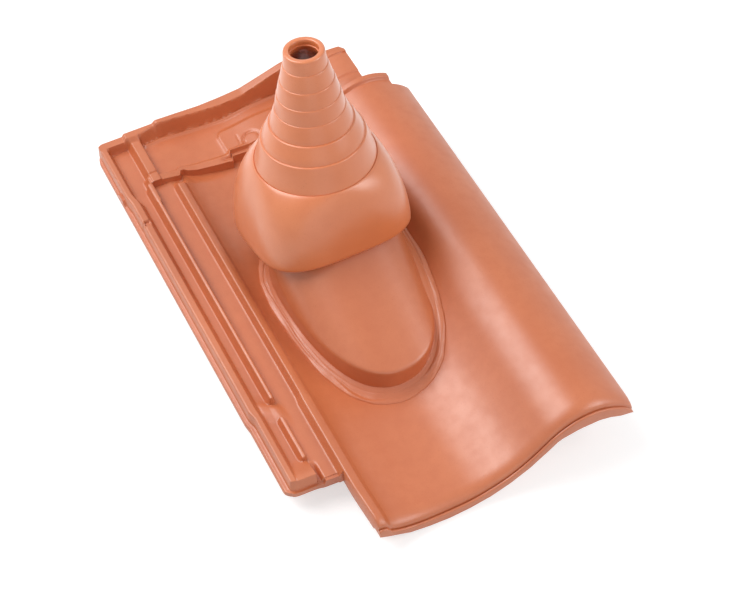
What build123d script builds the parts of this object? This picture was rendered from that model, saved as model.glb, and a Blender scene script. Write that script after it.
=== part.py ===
from build123d import *
import math
import os

# Antenna roof tile: a pressed clay interlocking pantile with a clay hood fired onto it,
# and a flexible stepped cap that sits over the hood and seals a mast or a cable.
# Working frame of this file: X runs across the tile from the side lock to the roll,
# Y from the foot to the head, Z up from the surface that the tile lies on, in millimetres.

# Overall sizes of the clay tile
tile_width = 274.0
tile_length = 457.0
clay = 13.0

# Water course of the body: pan, roll and right-hand edge
pan_x = 113.0
pan_top = 15.5
crest_inset = 43.0
crest_top = 68.0
edge_top = 46.0
edge_bottom = 37.5

# Side lock on the left: flange, outer rib, gutter, inner rib, flat strip and edge rib
lock_bottom = 15.0
flange_width = 3.2
flange_height = 4.8
outer_rib_top = 33.0
outer_rib_width = 7.0
gutter_floor = 24.0
gutter_width = 10.5
inner_rib_top = 32.0
inner_rib_width = 3.0
strip_floor = 25.0
strip_width = 17.0
edge_rib_top = 33.0
edge_rib_width = 7.5
rib_draft = 2.6

# Foot of the tile
block_y = 62.0
block_skew = 6.0
block_ledge = 3.5
foot_lip_depth = 10.0
foot_lip_step = 2.5
foot_lip_drop = 2.3
foot_round = 7.0

# Head of the tile: platform under the next tile, end rim and nail pad
platform_y = 392.0
platform_top = 24.0
platform_roll_drop = 12.0
head_roll_width = 240.0
rim_depth = 8.0
rim_low = 33.0
rim_mid = 36.0
rim_high = 38.5
rim_step_one = 26.0
rim_step_two = 56.0
head_rib_x = 31.0
head_rib_width = 7.5
body_notch_x = 256.0
body_notch_y = 381.0
roll_rib_height = 3.5
roll_rib_depth = 5.0
pad_x = 112.0
pad_length = 56.0
pad_y = 402.0
pad_width = 26.0
pad_height = 2.0
nail_x = 135.0
nail_y = 417.0
nail_ring = 8.0

# Saddle and short rib near the foot of the side lock
saddle_y = 131.0
saddle_length = 12.0
saddle_rise = 3.0
short_rib_start = 86.0
short_rib_end = 128.0

# Hanging nibs and cover ribs on the underside
nib_width = 34.0
nib_depth = 14.0
nib_y = 430.0
nib_left_x = 62.0
nib_right_x = 150.0
cover_rib_width = 6.0
cover_rib_drop = 5.0
cover_rib_inset = 30.0

# Clay hood over the passage
hood_x = 132.0
hood_y = 232.0
hood_half_width = 57.0
hood_front = 116.0
hood_back = 70.0
hood_wall = 9.0
hood_squareness = 2.3
crown_radius = 58.5
toe_setback = 10.0
toe_top = 34.0
front_lean = 57.5
seam_width = 11.0
seam_height = 9.0
seam_taper = 14.0

# Flexible cap: skirt, shoulder and stepped cone
skirt_y = 259.0
skirt_z = 68.0
skirt_half_width = 69.5
skirt_half_length = 60.6
skirt_lean = 20.0
skirt_squareness = 2.6
shoulder_power = 4
skirt_overlap = 12.0
cap_wall = 4.0
shoulder_ledge = 1.2
stop_half_width = 50.0
stop_half_length = 35.0
stop_thickness = 4.0
seat_gap = 0.3
cone_y = 275.8
cone_z = 139.5
cone_lean = 7.6
cone_height = 107.0
cone_foot_radius = 49.3
cone_top_radius = 16.4
bore_radius = 11.7
bore_length = 12.0
# Height above the cone's foot, outer radius and ledge of each trim ring
trim_rings = (
    (22.5, 42.9, 1.5),
    (37.3, 35.0, 1.5),
    (52.1, 28.8, 0.7),
    (65.7, 25.8, 0.7),
    (79.8, 22.1, 0.7),
    (93.9, 18.1, 0.7),
)

crest_x = tile_width - crest_inset
along = (0, 1, 0)
over = 200.0


def xz(x, z):
    """A point of a cross section at the foot end."""
    return Vector(x, 0, z)


def section_face(*edges):
    """A face in the cross-section plane from its edges, in order."""
    return make_face(Wire(list(edges)))


def run(face, start, end):
    """The face drawn out along the tile from one station to another."""
    return extrude(Pos(0, start, 0) * face, amount=end - start, dir=along)


def block(x0, x1, y0, y1, z0, z1):
    """A box between opposite corners."""
    box = Box(x1 - x0, y1 - y0, z1 - z0)
    return Pos((x0 + x1) / 2, (y0 + y1) / 2, (z0 + z1) / 2) * box


def offset_points(curve, distance, first, last, count):
    """Points beside a cross-section curve, on its lower side for a positive distance."""
    points = []
    for i in range(count):
        t = first + (last - first) * i / (count - 1)
        tangent = curve % t
        points.append((curve @ t) + Vector(tangent.Z, 0, -tangent.X) * distance)
    return points


def superellipse(half_x, half_front, half_back, power, count=36):
    """A closed rounded outline about the origin, with its front on the -Y side."""
    points = []
    for i in range(count):
        angle = 2 * math.pi * i / count
        c, s = math.cos(angle), math.sin(angle)
        half_y = half_back if s > 0 else half_front
        x = half_x * math.copysign(abs(c) ** (2 / power), c)
        y = half_y * math.copysign(abs(s) ** (2 / power), s)
        points.append((x, y, 0))
    return make_face(Spline(*points, periodic=True))


# Stations across the side lock
outer_rib_x = flange_width
gutter_x = outer_rib_x + outer_rib_width + 0.4 * rib_draft
inner_rib_x = gutter_x + gutter_width
strip_x = inner_rib_x + rib_draft + inner_rib_width + 0.4 * rib_draft
edge_rib_x = strip_x + strip_width
pan_left_x = edge_rib_x + rib_draft + edge_rib_width
pan_left_z = edge_rib_top - 2.0


def body_curve():
    """Top line of the pan and the roll, from the edge rib to the right-hand edge."""
    flank_x = (pan_x + 2 * crest_x) / 3
    flank_z = pan_top + 0.64 * (crest_top - pan_top)
    return Spline(
        xz(pan_left_x, pan_left_z),
        xz((pan_left_x + pan_x) / 2, pan_top + 2.0),
        xz(pan_x, pan_top),
        xz(pan_x + 0.44 * (crest_x - pan_x), pan_top + 0.2 * (crest_top - pan_top)),
        xz(flank_x, flank_z),
        xz(crest_x, crest_top),
        xz((crest_x + tile_width) / 2, crest_top - 0.27 * (crest_top - edge_top)),
        xz(tile_width, edge_top),
    )


def under_curve(curve):
    """Underside line of the body, one clay thickness below the top line."""
    points = offset_points(curve, clay, 0.93, 0.03, 12)
    return Spline(xz(tile_width - 2.5, edge_bottom), *points)


def lock_points():
    """Top line of the side lock from the flange's lower corner to the pan."""
    ledge = lock_bottom + flange_height
    return [
        xz(0, lock_bottom),
        xz(0, ledge - 0.6),
        xz(outer_rib_x, ledge),
        xz(outer_rib_x + 0.7, outer_rib_top),
        xz(outer_rib_x + outer_rib_width, outer_rib_top),
        xz(gutter_x, gutter_floor),
        xz(inner_rib_x, gutter_floor),
        xz(inner_rib_x + rib_draft, inner_rib_top),
        xz(inner_rib_x + rib_draft + inner_rib_width, inner_rib_top),
        xz(strip_x, strip_floor),
        xz(edge_rib_x, strip_floor),
        xz(edge_rib_x + rib_draft, edge_rib_top),
        xz(pan_left_x, pan_left_z),
    ]


def full_section():
    """Cross section with side lock, pan and roll."""
    top = body_curve()
    under = under_curve(top)
    lock = Polyline(*lock_points())
    edge = Line(top @ 1, under @ 0)
    close = Polyline(under @ 1, xz(edge_rib_x, lock_bottom), xz(0, lock_bottom))
    return section_face(*lock.edges(), top, edge, under, *close.edges())


def apron_section():
    """Cross section of the pan and the roll alone, between the lock and the foot."""
    top = body_curve()
    under = under_curve(top)
    edge = Line(top @ 1, under @ 0)
    left = Polyline(
        under @ 1,
        xz(edge_rib_x + rib_draft, lock_bottom + 4.0),
        xz(edge_rib_x + rib_draft, edge_rib_top - 2.0),
        top @ 0,
    )
    return section_face(top, edge, under, *left.edges())


def band_section(curve, upper, lower, first=0.0, last=1.0):
    """A strip that follows the body's top line between two offsets from it."""
    high = Spline(*offset_points(curve, upper, first, last, 14))
    low = Spline(*offset_points(curve, lower, last, first, 14))
    return section_face(high, Line(high @ 1, low @ 0), low, Line(low @ 1, high @ 0))


def platform_curve():
    """Top line of the head platform, which rises onto the roll one tile thickness lower."""
    roll_top = crest_top - platform_roll_drop
    start_x = pan_x + 0.42 * (crest_x - pan_x)
    flank_x = (pan_x + 3 * crest_x) / 4
    return Spline(
        xz(start_x, platform_top),
        xz((start_x + flank_x) / 2, platform_top + 0.24 * (roll_top - platform_top)),
        xz(flank_x, platform_top + 0.75 * (roll_top - platform_top)),
        xz(crest_x, roll_top),
        xz(head_roll_width, roll_top - 1.2),
        tangents=[(1, 0, 0), (1, 0, -0.25)],
    )


def head_section():
    """Cross section of the head: side lock, platform and lowered roll."""
    ledge = lock_bottom + flange_height
    rise = platform_curve()
    lock = Polyline(
        xz(0, lock_bottom),
        xz(0, ledge),
        xz(1.6, ledge + 1.0),
        xz(2.2, outer_rib_top),
        xz(outer_rib_x + outer_rib_width + 0.6, outer_rib_top),
        xz(gutter_x + 0.4, gutter_floor),
        xz(head_rib_x - rib_draft, gutter_floor),
        xz(head_rib_x, inner_rib_top),
        xz(head_rib_x + head_rib_width, inner_rib_top),
        xz(head_rib_x + head_rib_width + 0.6, platform_top),
        rise @ 0,
    )
    under_points = offset_points(rise, clay, 1.0, 0.0, 8)
    under = Spline(*under_points)
    close = Polyline(
        under @ 1,
        xz(pan_left_x + 14, platform_top - clay),
        xz(edge_rib_x, lock_bottom),
        xz(0, lock_bottom),
    )
    edge = Line(rise @ 1, under @ 0)
    return section_face(*lock.edges(), rise, edge, under, *close.edges())


def head_rim():
    """Raised rim across the head end, stepped up from the side lock to the pan."""
    rise = platform_curve()
    crown = Spline(
        xz(rim_step_two + 3, rim_high),
        xz(pan_x - 10, rim_high - 2.0),
        xz(pan_x + 26, rim_high + 1.5),
        xz(crest_x - 50, crest_top - platform_roll_drop - 3.0),
        xz(crest_x - 26, crest_top - platform_roll_drop + 0.5),
    )
    top = Polyline(
        xz(2.2, platform_top),
        xz(2.2, rim_low),
        xz(rim_step_one, rim_low),
        xz(rim_step_one + 2.5, rim_mid),
        xz(rim_step_two, rim_mid),
        crown @ 0,
    )
    close = Polyline(crown @ 1, rise @ 0.86, rise @ 0.4, rise @ 0, xz(2.2, platform_top))
    return run(
        section_face(*top.edges(), crown, *close.edges()),
        tile_length - rim_depth,
        tile_length,
    )


def rib_along(x, top, floor, width, start, end):
    """A rib on a gutter floor with rounded ends and a draft on its sides."""
    length = end - start
    middle = Pos(x + width / 2, (start + end) / 2, floor)
    base = middle * SlotOverall(length + rib_draft, width + rib_draft, rotation=90)
    return extrude(base, amount=top - floor, taper=9)


def plain_tile():
    """The pressed tile before the hood: lock, pan, roll, foot, head and underside."""
    top = body_curve()
    body = run(full_section(), block_y, platform_y)
    apron = run(apron_section(), foot_lip_step, block_y)
    round_edges = [
        edge for edge in apron.edges()
        if abs(edge.center().Y - foot_lip_step) < 0.01 and edge.length > 0.6 * tile_width
    ]
    upper_edge = max(round_edges, key=lambda edge: edge.center().Z)
    apron = fillet(upper_edge, foot_round)
    lip = run(band_section(top, 7.5, clay + foot_lip_drop, 0.0, 0.985), 0, foot_lip_depth)
    head = run(head_section(), platform_y, tile_length)
    roll_rib = run(
        band_section(top, -roll_rib_height, clay * 0.6, 0.55, 0.925),
        platform_y - roll_rib_depth,
        platform_y + 1,
    )
    tile = body + apron + lip + head + head_rim() + roll_rib
    tile += short_rib() + saddle() + nail_pad() + shoulder_bar()
    tile -= foot_cuts() + head_cuts()
    tile += nibs() + cover_ribs()
    return tile


def short_rib():
    """Short inner rib between the saddle and the foot end of the lock."""
    x = inner_rib_x + 0.6 * rib_draft
    return rib_along(x, inner_rib_top - 1.0, gutter_floor - 1, inner_rib_width + 1.0,
                     short_rib_start, short_rib_end)


def saddle():
    """Low rise across gutter and strip that turns stray water back into the pan."""
    floor = gutter_floor - 1
    profile = Polyline(
        Vector(gutter_x - 1, saddle_y - 4, floor),
        Vector(gutter_x - 1, saddle_y, gutter_floor + saddle_rise),
        Vector(gutter_x - 1, saddle_y + saddle_length - 5, gutter_floor + saddle_rise),
        Vector(gutter_x - 1, saddle_y + saddle_length, floor),
        close=True,
    )
    return extrude(make_face(profile), amount=edge_rib_x + 1 - gutter_x, dir=(1, 0, 0))


def nail_pad():
    """Raised pad in the head platform with the ring of the nail place."""
    plate = Pos(pad_x + pad_length / 2, pad_y + pad_width / 2, platform_top - 1)
    pad = extrude(plate * RectangleRounded(pad_length, pad_width, 5), amount=pad_height + 1)
    ring_face = Circle(nail_ring) - Circle(nail_ring - 2)
    ring = extrude(Pos(nail_x, nail_y, platform_top) * ring_face, amount=pad_height + 1.2)
    return pad + ring


def shoulder_bar():
    """Raised bar at the platform's edge, where it stands over the flat strip."""
    bar = block(head_rib_x, rim_step_two + 2, platform_y + 1, platform_y + 9,
                platform_top - 1, platform_top + 4)
    return bar


def foot_cuts():
    """Clay cut away at the foot: inner rib ends, slanted lock end and slot beside the strip."""
    ledge = lock_bottom + flange_height
    rib_gap = block(gutter_x + 0.5, strip_x + 1, block_y - 1, saddle_y + saddle_length,
                    gutter_floor, inner_rib_top + 5)
    keep = saddle() + short_rib()
    slant = Polyline(
        (-1, block_y - 1),
        (strip_x + 1, block_y - 1),
        (strip_x + 1, block_y + 2),
        (-1, block_y + 2 + block_skew),
        close=True,
    )
    end = extrude(make_face(slant), amount=over)
    ledge_cut = extrude(Pos(0, block_ledge, ledge) * make_face(slant), amount=over)
    slot = block(strip_x - 1.5, strip_x + 1.5, block_y - 1, block_y + 16,
                 ledge - 0.5, edge_rib_top)
    return (rib_gap - keep) + end + ledge_cut + slot


def head_cuts():
    """Clay cut away at the head: the roll's cover notch and the rounded lock corner."""
    notch = block(body_notch_x, tile_width + 5, body_notch_y, platform_y + 10, -5, over)
    corner_radius = 9.0
    square = block(-1, corner_radius, tile_length - corner_radius, tile_length + 1, 0, over)
    centre = Pos(corner_radius, tile_length - corner_radius, 0)
    corner = square - centre * extrude(Circle(corner_radius), amount=over)
    return notch + corner


def nibs():
    """Two nibs under the head that hang the tile on its batten."""
    row = []
    for x in (nib_left_x, nib_right_x):
        nib = block(x, x + nib_width, nib_y, nib_y + nib_depth, 0, platform_top - 4)
        lower = nib.edges().filter_by(Axis.X).group_by(Axis.Z)[0]
        row.append(fillet(lower, 3))
    return row[0] + row[1]


def cover_ribs():
    """Two ribs under the roll's edge that reach over the next tile's side lock."""
    top = body_curve()
    fractions = (0.86, 0.93)
    ribs = []
    for fraction in fractions:
        point = top @ fraction
        ribs.append(block(point.X - cover_rib_width / 2, point.X + cover_rib_width / 2,
                          cover_rib_inset, body_notch_y - 2,
                          point.Z - clay - cover_rib_drop, point.Z - clay + 4))
    return ribs[0] + ribs[1]


def arch(inset):
    """Long leaning barrel with straight sides that gives the hood its sloping front."""
    lean = math.radians(front_lean)
    frame = Plane(
        origin=(hood_x, hood_y - hood_front + toe_setback, toe_top),
        x_dir=(1, 0, 0),
        z_dir=(0, -math.sin(lean), -math.cos(lean)),
    )
    radius = crown_radius - inset
    crown = Pos(0, -crown_radius, 0) * Circle(radius)
    legs = Pos(0, -crown_radius - over / 2, 0) * Rectangle(2 * radius, over)
    return extrude(frame * (crown + legs), amount=over, both=True)


def hood_form(inset, low, high):
    """Body of the hood, inset from its outside by a wall, between two heights."""
    plan = superellipse(hood_half_width - inset, hood_front - inset,
                        hood_back - inset, hood_squareness)
    prism = extrude(Pos(hood_x, hood_y, low) * plan, amount=high - low)
    return prism & arch(inset)


def below(plane, solid):
    """The part of a solid that lies below a plane."""
    return split(solid, bisect_by=plane, keep=Keep.BOTTOM)


def seam():
    """Bead of clay that was smoothed by hand around the hood's foot."""
    top = body_curve()
    skin = run(band_section(top, -seam_height, clay / 2, 0.0, 0.97), 60, platform_y)
    rise = over / 3
    outlines = []
    for height in (0, rise):
        grown = seam_width - height * math.tan(math.radians(seam_taper))
        outline = superellipse(hood_half_width + grown, hood_front + grown,
                               hood_back + grown, hood_squareness)
        outlines.append(Pos(hood_x, hood_y, pan_top - 2 + height) * outline)
    return skin & loft(outlines)


def clay_tile():
    """The whole fired piece: tile, hood, seam and the passage through them."""
    high = skirt_z + over / 2
    hood = below(rim_plane(skirt_overlap), hood_form(0, pan_top - clay / 3, high))
    roof = body_curve()
    under = run(band_section(roof, clay, clay + over / 2), block_y, platform_y)
    hood = hood - under
    passage = hood_form(hood_wall, -over / 4, high)
    return plain_tile() + seam() + hood - passage


def cap_sections(inset):
    """Outlines of the skirt and shoulder from below the rim to the cone's foot."""
    outlines = []
    for share in (-0.1, 0.15, 0.4, 0.6, 0.76, 0.88, 0.96):
        fullness = math.sqrt(1 - share ** shoulder_power)
        lean = skirt_lean + (cone_lean - skirt_lean) * share
        y = skirt_y + (cone_y - skirt_y) * share
        z = skirt_z + (cone_z - skirt_z) * share
        foot = cone_foot_radius + shoulder_ledge
        half_x = foot + (skirt_half_width - foot) * fullness - inset
        half_y = foot + (skirt_half_length - foot) * fullness - inset
        power = 2 + (skirt_squareness - 2) * fullness
        outline = superellipse(half_x, half_y, half_y, power)
        outlines.append(Pos(hood_x, y, z) * Rot(-lean, 0, 0) * outline)
    top = Circle(cone_foot_radius + shoulder_ledge - inset)
    outlines.append(cone_frame() * top)
    return outlines


def cone_frame():
    """Axes of the cone: its foot's centre, with the mast's direction as Z."""
    return Pos(hood_x, cone_y, cone_z) * Rot(-cone_lean, 0, 0)


def cone_outside():
    """Stepped cone outside, turned about the mast's axis."""
    points = [(0, -2.0), (cone_foot_radius, -2.0), (cone_foot_radius, 0)]
    for height, radius, ledge in trim_rings:
        points.append((radius, height))
        points.append((radius - ledge, height))
    points.append((cone_top_radius, cone_height - 1.5))
    points.append((cone_top_radius - 1.5, cone_height))
    points.append((0, cone_height))
    profile = make_face(Polyline(*[Vector(r, 0, h) for r, h in points], close=True))
    return cone_frame() * revolve(profile, Axis.Z)


def cone_inside():
    """Hollow of the cone with the bore at its top."""
    points = [(0, -2.0), (cone_foot_radius - cap_wall, -2.0), (cone_foot_radius - cap_wall, 0)]
    for height, radius, ledge in trim_rings[:-1]:
        points.append((radius - ledge - cap_wall, height + 1.0))
    neck = cone_height - bore_length
    points.append((bore_radius + 1.2, neck))
    points.append((bore_radius, neck + 1.2))
    points.append((bore_radius, cone_height + 1))
    points.append((0, cone_height + 1))
    profile = make_face(Polyline(*[Vector(r, 0, h) for r, h in points], close=True))
    return cone_frame() * revolve(profile, Axis.Z)


def stop_ring():
    """Inner ledge of the cap that rests on the hood's upper edge."""
    plane = rim_plane(skirt_overlap)
    raised = Plane(origin=plane.origin + plane.z_dir * seat_gap, x_dir=plane.x_dir,
                   z_dir=plane.z_dir)
    half_x = skirt_half_width - cap_wall / 2
    half_y = skirt_half_length - cap_wall / 2
    outer = superellipse(half_x, half_y, half_y, skirt_squareness)
    inner = superellipse(stop_half_width, stop_half_length, stop_half_length,
                         hood_squareness)
    return extrude(raised * (outer - inner), amount=stop_thickness)


def rim_plane(raise_by):
    """Plane of the skirt's rim, or one parallel to it that lies higher."""
    lean = math.radians(skirt_lean)
    return Plane(
        origin=(hood_x, skirt_y, skirt_z + raise_by),
        x_dir=(1, 0, 0),
        z_dir=(0, math.sin(lean), math.cos(lean)),
    )


def flexible_cap():
    """The moulded cap: skirt, shoulder, stop ring and stepped cone as one piece."""
    dome = loft(cap_sections(0)) - loft(cap_sections(cap_wall))
    skirt = split(dome, bisect_by=rim_plane(0), keep=Keep.TOP)
    return skirt + cone_outside() - cone_inside() + stop_ring()


def write_node(name, solid):
    """Save one node, moved so that the origin is under the middle of the tile."""
    export_step(Pos(-tile_width / 2, -tile_length / 2, 0) * solid, f"parts/{name}.step")


os.makedirs("parts", exist_ok=True)
write_node("clay_tile", clay_tile())
write_node("flexible_cap", flexible_cap())
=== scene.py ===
"""Looks of an antenna roof tile: a pressed clay pantile with a clay hood and a flexible cap.

All shapes are written in the tile's own millimetres: X from the side lock's outer edge to the
roll, Y from the foot to the head, Z up from the surface that the tile lies on.
"""

from __future__ import annotations

import logging
import math
from dataclasses import dataclass
from enum import Enum
from typing import Callable

import bpy
import numpy as np
from bpy.types import Material, Node, NodeSocket, NodeTree, Object
from mathutils import Matrix, Vector


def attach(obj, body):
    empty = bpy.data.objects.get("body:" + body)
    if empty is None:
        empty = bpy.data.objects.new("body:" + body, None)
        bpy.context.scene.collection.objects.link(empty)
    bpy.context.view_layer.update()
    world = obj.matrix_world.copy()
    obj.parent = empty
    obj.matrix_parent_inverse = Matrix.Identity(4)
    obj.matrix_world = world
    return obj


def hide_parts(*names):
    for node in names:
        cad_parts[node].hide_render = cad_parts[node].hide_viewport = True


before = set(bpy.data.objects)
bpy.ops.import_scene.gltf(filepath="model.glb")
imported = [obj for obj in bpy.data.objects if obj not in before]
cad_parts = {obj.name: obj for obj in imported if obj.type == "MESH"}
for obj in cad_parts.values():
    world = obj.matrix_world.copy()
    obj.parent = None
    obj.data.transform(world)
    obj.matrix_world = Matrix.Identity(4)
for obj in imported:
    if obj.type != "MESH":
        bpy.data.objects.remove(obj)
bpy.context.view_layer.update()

Array = np.ndarray
Numbers = tuple[float, ...]
Pairs = tuple[tuple[float, float], ...]

LOG = logging.getLogger("antenna_roof_tile")
TILE_WIDTH = 274.0
TILE_LENGTH = 457.0
MILLIMETRE = 0.001
SHARP_EDGE_DEGREES = 58
MIX_FIRST, MIX_SECOND, MIX_RESULT = 6, 7, 2  # colour sockets of the Mix node


class Slot(Enum):
    """Names of the material slots."""

    CLAY = "fired_clay"
    CAP = "moulded_cap"


class Side(Enum):
    """Which side of a closed wall a skin is."""

    OUTSIDE = 1
    INSIDE = -1


def ease(low: float, high: float, value: Array) -> Array:
    """Soft step from 0 at low to 1 at high.

    Args:
        low: Value where the step starts.
        high: Value where the step ends.
        value: Where to read the step.

    Returns:
        The step's height at each value.
    """
    t = np.clip((value - low) / (high - low), 0.0, 1.0)
    return t * t * (3.0 - 2.0 * t)


def plateau(start: float, full: float, last: float, end: float, value: Array) -> Array:
    """Soft step up from start to full, and down again from last to end."""
    return ease(start, full, value) * (1 - ease(last, end, value))


def bell(middle: float, reach: float, value: Array) -> Array:
    """Bell curve of height 1 at its middle, nearly gone at twice its reach."""
    return np.exp(-(((value - middle) / reach) ** 2))


def round_over(start: float, length: float, value: Array, full: float = 1.0) -> Array:
    """Drop of a quarter-round edge, as a share of its radius.

    Args:
        start: Value where the edge begins to fall.
        length: How far below start it ends, or above start where this is negative.
        value: Where to read the drop.
        full: Share of the length that is used.

    Returns:
        The drop at each value.
    """
    share = np.clip((start - value) / length, 0, full)
    return 1 - np.sqrt(1 - share * share)


def smooth_curve(xs: list[float], ys: list[float]) -> Callable[[Array], Array]:
    """Natural cubic curve through points.

    Args:
        xs: Rising positions.
        ys: Heights at the positions.

    Returns:
        A function that reads the curve, held flat beyond its ends.
    """
    x, y = np.array(xs, float), np.array(ys, float)
    n, h = len(x), np.diff(x)
    matrix, right = np.eye(n), np.zeros(n)
    for i in range(1, n - 1):
        matrix[i, i - 1 : i + 2] = (h[i - 1], 2 * (h[i - 1] + h[i]), h[i])
        right[i] = 6 * ((y[i + 1] - y[i]) / h[i] - (y[i] - y[i - 1]) / h[i - 1])
    bend = np.linalg.solve(matrix, right)

    def read(at: Array) -> Array:
        """Reads the curve.

        Args:
            at: Positions.

        Returns:
            Height at each position.
        """
        p = np.clip(at, x[0], x[-1])
        k = np.clip(np.searchsorted(x, p) - 1, 0, n - 2)
        a, b, step = x[k + 1] - p, p - x[k], h[k]
        return (
            bend[k] * a**3 / (6 * step)
            + bend[k + 1] * b**3 / (6 * step)
            + (y[k] / step - bend[k] * step / 6) * a
            + (y[k + 1] / step - bend[k + 1] * step / 6) * b
        )

    return read


def spans(*parts: tuple[float, float, float]) -> Array:
    """Grid lines along consecutive spans.

    Args:
        *parts: Start, end and spacing of each span, in millimetres.

    Returns:
        All line positions in rising order.
    """
    lines: list[float] = []
    for start, end, step in parts:
        count = max(1, round((end - start) / step))
        lines.extend(start + (end - start) * i / count for i in range(count))
    lines.append(parts[-1][1])
    return np.array(lines)


def add_piece(name: str, points: Array, faces: list, material: Material) -> Object:
    """Makes a smooth-shaded piece that rides with the tile.

    Args:
        name: Name of the piece.
        points: Corner positions in the tile's millimetres, one row each.
        faces: Corner numbers of each face.
        material: Finish of the piece.

    Returns:
        The new object.
    """
    place = np.array([TILE_WIDTH / 2, TILE_LENGTH / 2, 0.0])
    mesh = bpy.data.meshes.new(name)
    mesh.from_pydata(((points - place) * MILLIMETRE).tolist(), [], faces)
    mesh.validate()
    mesh.shade_smooth()
    mesh.set_sharp_from_angle(angle=math.radians(SHARP_EDGE_DEGREES))
    mesh.materials.append(material)
    piece = bpy.data.objects.new(name, mesh)
    bpy.context.scene.collection.objects.link(piece)
    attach(piece, "root")
    LOG.info("%s: %d faces", name, len(mesh.polygons))
    return piece


def grid_faces(rows: int, columns: int, closed: bool, flip: bool) -> list:
    """Quads of a grid of corners.

    Args:
        rows: Number of corner rows.
        columns: Number of corners in a row.
        closed: Whether the last column joins the first.
        flip: Whether the faces look the other way.

    Returns:
        Corner numbers of each quad.
    """
    faces = []
    for j in range(rows - 1):
        for i in range(columns if closed else columns - 1):
            k = (i + 1) % columns
            quad = (j * columns + i, j * columns + k, (j + 1) * columns + k, (j + 1) * columns + i)
            faces.append(quad[::-1] if flip else quad)
    return faces


# ---- finishes


def linear(hex_colour: str) -> tuple[float, float, float, float]:
    """Turns an sRGB hex colour to the linear values that a shader takes."""
    parts = [int(hex_colour[i : i + 2], 16) / 255 for i in (1, 3, 5)]
    return (*(p / 12.92 if p <= 0.04045 else ((p + 0.055) / 1.055) ** 2.4 for p in parts), 1.0)


def feed(tree: NodeTree, node: Node, inputs: dict) -> None:
    """Gives a node's inputs their values or links.

    Args:
        tree: Node tree that holds the node.
        node: Node to feed.
        inputs: Value or output socket for each input, by name or number.
    """
    for key, value in inputs.items():
        if isinstance(value, NodeSocket):
            tree.links.new(value, node.inputs[key])
        else:
            node.inputs[key].default_value = value


def add_node(tree: NodeTree, kind: str, inputs: dict | None = None, **settings: object) -> Node:
    """Adds a shader node with its settings and links.

    Args:
        tree: Node tree that takes the node.
        kind: Blender's type name of the node.
        inputs: Value or output socket for each input, by name or number.
        **settings: Attributes of the node.

    Returns:
        The new node.
    """
    node = tree.nodes.new(kind)
    for key, value in settings.items():
        setattr(node, key, value)
    feed(tree, node, inputs or {})
    return node


def blend(tree: NodeTree, factor: NodeSocket, first: object, second: object) -> NodeSocket:
    """Colour that goes from first to second as the factor goes from 0 to 1."""
    inputs = {"Factor": factor, MIX_FIRST: first, MIX_SECOND: second}
    return add_node(tree, "ShaderNodeMix", inputs, data_type="RGBA").outputs[MIX_RESULT]


def either(tree: NodeTree, first: NodeSocket, second: NodeSocket) -> NodeSocket:
    """Value that is 1 where one of two light-path values is."""
    return add_node(tree, "ShaderNodeMath", {0: first, 1: second}, operation="MAXIMUM").outputs[0]


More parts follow.
